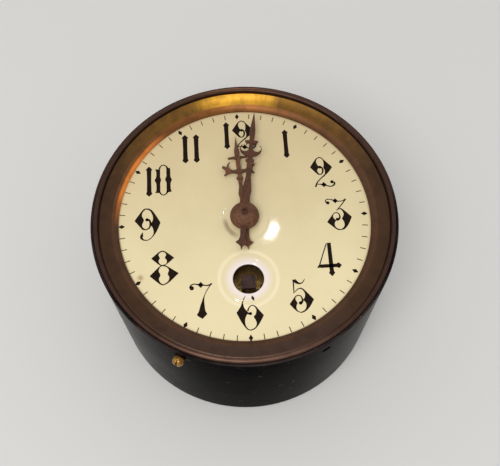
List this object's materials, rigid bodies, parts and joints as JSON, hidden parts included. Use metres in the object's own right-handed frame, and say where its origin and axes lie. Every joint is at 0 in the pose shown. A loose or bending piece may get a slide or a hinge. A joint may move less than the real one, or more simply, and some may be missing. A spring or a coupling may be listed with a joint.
{
  "type": "drum clock movement",
  "caption": "Drum-cased spring-driven clock movement with an enamel dial, pierced hands, front winding and a lever platform escapement under a push-on back.",
  "frame": {"origin": "centre of the case's back face, which the movement stands on in the picture", "axes": "+Z along the case axis towards the dial, +Y towards 12 o'clock, +X towards 3 o'clock"},
  "size_m": [0.1036, 0.1061, 0.072],
  "materials": {
    "case_brass": "dark tarnished polish with brown spots",
    "cover_brass": "dull tarnish, turned in fine rings",
    "bezel_brass": "worn lacquer, gold and brown",
    "screw_brass": "worn, dull gold",
    "enamel": "aged cream gloss",
    "dial_copper": "dull copper",
    "pin_brass": "drawn wire",
    "plate_brass": "fine straight brushing",
    "ring_brass": "turned",
    "pillar_brass": "turned and polished",
    "wheel_brass": "polished rims, brushed faces",
    "barrel_brass": "turned in fine rings",
    "arbor_steel": "polished bearing steel",
    "winding_steel": "dull worn steel",
    "ratchet_steel": "snailed",
    "click_steel": "straight grained",
    "spring_steel": "rolled and tempered",
    "hairspring_steel": "tempered blue",
    "screw_steel": "tempered blue",
    "hand_steel": "rusted brown, once blued",
    "boss_steel": "rusted brown",
    "motion_brass": "dull",
    "platform_brass": "frosted gilt",
    "cock_brass": "frosted gilt with polished edges",
    "balance_brass": "polished",
    "lever_steel": "polished",
    "ruby": "clear red jewel"
  },
  "bodies": {
    "case": {"drum_body": "case_brass", "bezel": "bezel_brass", "movement_ring": "ring_brass", "case_screws": "screw_brass", "ring_screws": "screw_steel", "enamel_dial": "enamel", "dial_feet": "dial_copper", "dial_pins": "pin_brass", "front_plate": "plate_brass", "back_plate": "plate_brass", "pillars": "pillar_brass", "pillar_screws": "screw_steel", "click_spring": "click_steel", "click_screws": "screw_steel", "minute_post": "arbor_steel", "platform_plate": "platform_brass", "platform_posts": "pillar_brass", "platform_screws": "screw_steel", "escape_cock": "cock_brass", "pallet_cock": "cock_brass", "hairspring": "hairspring_steel", "hairspring_stud": "click_steel", "balance_cock": "cock_brass", "end_cap": "lever_steel", "cock_screws": "screw_steel"},
    "cover": {"back_cover": "cover_brass"},
    "minute": {"minute_hand": "hand_steel", "hand_boss": "boss_steel", "cannon_pinion": "hand_steel"},
    "hour": {"hour_hand": "hand_steel", "hour_wheel": "motion_brass"},
    "motion": {"minute_wheel": "motion_brass", "minute_pinion": "arbor_steel"},
    "winding": {"barrel_arbor": "winding_steel", "ratchet_wheel": "ratchet_steel"},
    "click_body": {"click": "click_steel"},
    "barrel_body": {"barrel": "barrel_brass", "barrel_cap": "barrel_brass", "mainspring": "spring_steel"},
    "intermediate": {"intermediate_wheel": "wheel_brass", "intermediate_arbor": "arbor_steel"},
    "centre": {"centre_wheel": "wheel_brass", "centre_arbor": "arbor_steel"},
    "third": {"third_wheel": "wheel_brass", "third_arbor": "arbor_steel"},
    "fourth": {"fourth_wheel": "wheel_brass", "fourth_arbor": "arbor_steel"},
    "escape": {"escape_wheel": "lever_steel", "escape_arbor": "arbor_steel"},
    "lever": {"pallet_lever": "lever_steel", "pallet_stones": "ruby", "pallet_arbor": "arbor_steel"},
    "balance": {"balance_wheel": "balance_brass", "balance_screws": "balance_brass", "balance_staff": "arbor_steel", "roller": "lever_steel", "impulse_jewel": "ruby"},
    "index": {"regulator_index": "click_steel"}
  },
  "joints": [
    {"name": "minute_turn", "type": "hinge", "parent": "case", "child": "minute", "pos_m": [0, 0, 0.04], "axis": [0, 0, -1], "continuous": true},
    {"name": "hour_turn", "type": "hinge", "parent": "case", "child": "hour", "pos_m": [0, 0, 0.04], "axis": [0, 0, -1], "continuous": true},
    {"name": "motion_turn", "type": "hinge", "parent": "case", "child": "motion", "pos_m": [-0.00849, 0.00849, 0.04], "axis": [0, 0, -1], "continuous": true},
    {"name": "fourth_turn", "type": "hinge", "parent": "case", "child": "fourth", "pos_m": [0.00389, 0.01968, 0.04], "axis": [0, 0, -1], "continuous": true},
    {"name": "third_turn", "type": "hinge", "parent": "case", "child": "third", "pos_m": [0.00967, 0.00967, 0.04], "axis": [0, 0, -1], "continuous": true},
    {"name": "centre_turn", "type": "hinge", "parent": "case", "child": "centre", "pos_m": [0, 0, 0.04], "axis": [0, 0, -1], "continuous": true},
    {"name": "intermediate_turn", "type": "hinge", "parent": "case", "child": "intermediate", "pos_m": [-0.01426, -0.00618, 0.04], "axis": [0, 0, -1], "continuous": true},
    {"name": "barrel_turn", "type": "hinge", "parent": "case", "child": "barrel_body", "pos_m": [0, -0.0216, 0.04], "axis": [0, 0, -1], "continuous": true},
    {"name": "escape_turn", "type": "hinge", "parent": "case", "child": "escape", "pos_m": [0.01209, 0.02543, 0.04], "axis": [0, 0, -1], "continuous": true},
    {"name": "winding_turn", "type": "hinge", "parent": "case", "child": "winding", "pos_m": [0, -0.0216, 0.04], "axis": [0, 0, -1], "range_deg": [0, 1935], "deforming": ["mainspring"]},
    {"name": "click_swing", "type": "hinge", "parent": "case", "child": "click_body", "pos_m": [0.01065, -0.02906, 0.04], "axis": [0, 0, -1], "range_deg": [-10, 0], "stiffness_Nm_per_rad": 0.0005, "springref_deg": 17.19, "deforming": ["click_spring"]},
    {"name": "lever_swing", "type": "hinge", "parent": "case", "child": "lever", "pos_m": [0.00747, 0.02543, 0.04], "axis": [0, 0, -1], "range_deg": [-3, 3]},
    {"name": "balance_swing", "type": "hinge", "parent": "case", "child": "balance", "pos_m": [0.00087, 0.02543, 0.04], "axis": [0, 0, -1], "range_deg": [-270, 270], "stiffness_Nm_per_rad": 0.000009, "deforming": ["hairspring"]},
    {"name": "index_swing", "type": "hinge", "parent": "case", "child": "index", "pos_m": [0.00087, 0.02543, 0.04], "axis": [0, 0, -1], "range_deg": [-20, 20]},
    {"name": "cover_pull", "type": "slide", "parent": "case", "child": "cover", "axis": [0, 0, -1], "range_m": [0, 0.02]}
  ],
  "couplings": [
    {"joint": "hour_turn", "follows": "minute_turn", "ratio": 0.083333},
    {"joint": "motion_turn", "follows": "minute_turn", "ratio": -0.33333},
    {"joint": "third_turn", "follows": "fourth_turn", "ratio": -0.13333},
    {"joint": "centre_turn", "follows": "fourth_turn", "ratio": 0.016667},
    {"joint": "intermediate_turn", "follows": "fourth_turn", "ratio": -0.0026042},
    {"joint": "barrel_turn", "follows": "fourth_turn", "ratio": 0.00043403},
    {"joint": "escape_turn", "follows": "fourth_turn", "ratio": -10}
  ]
}
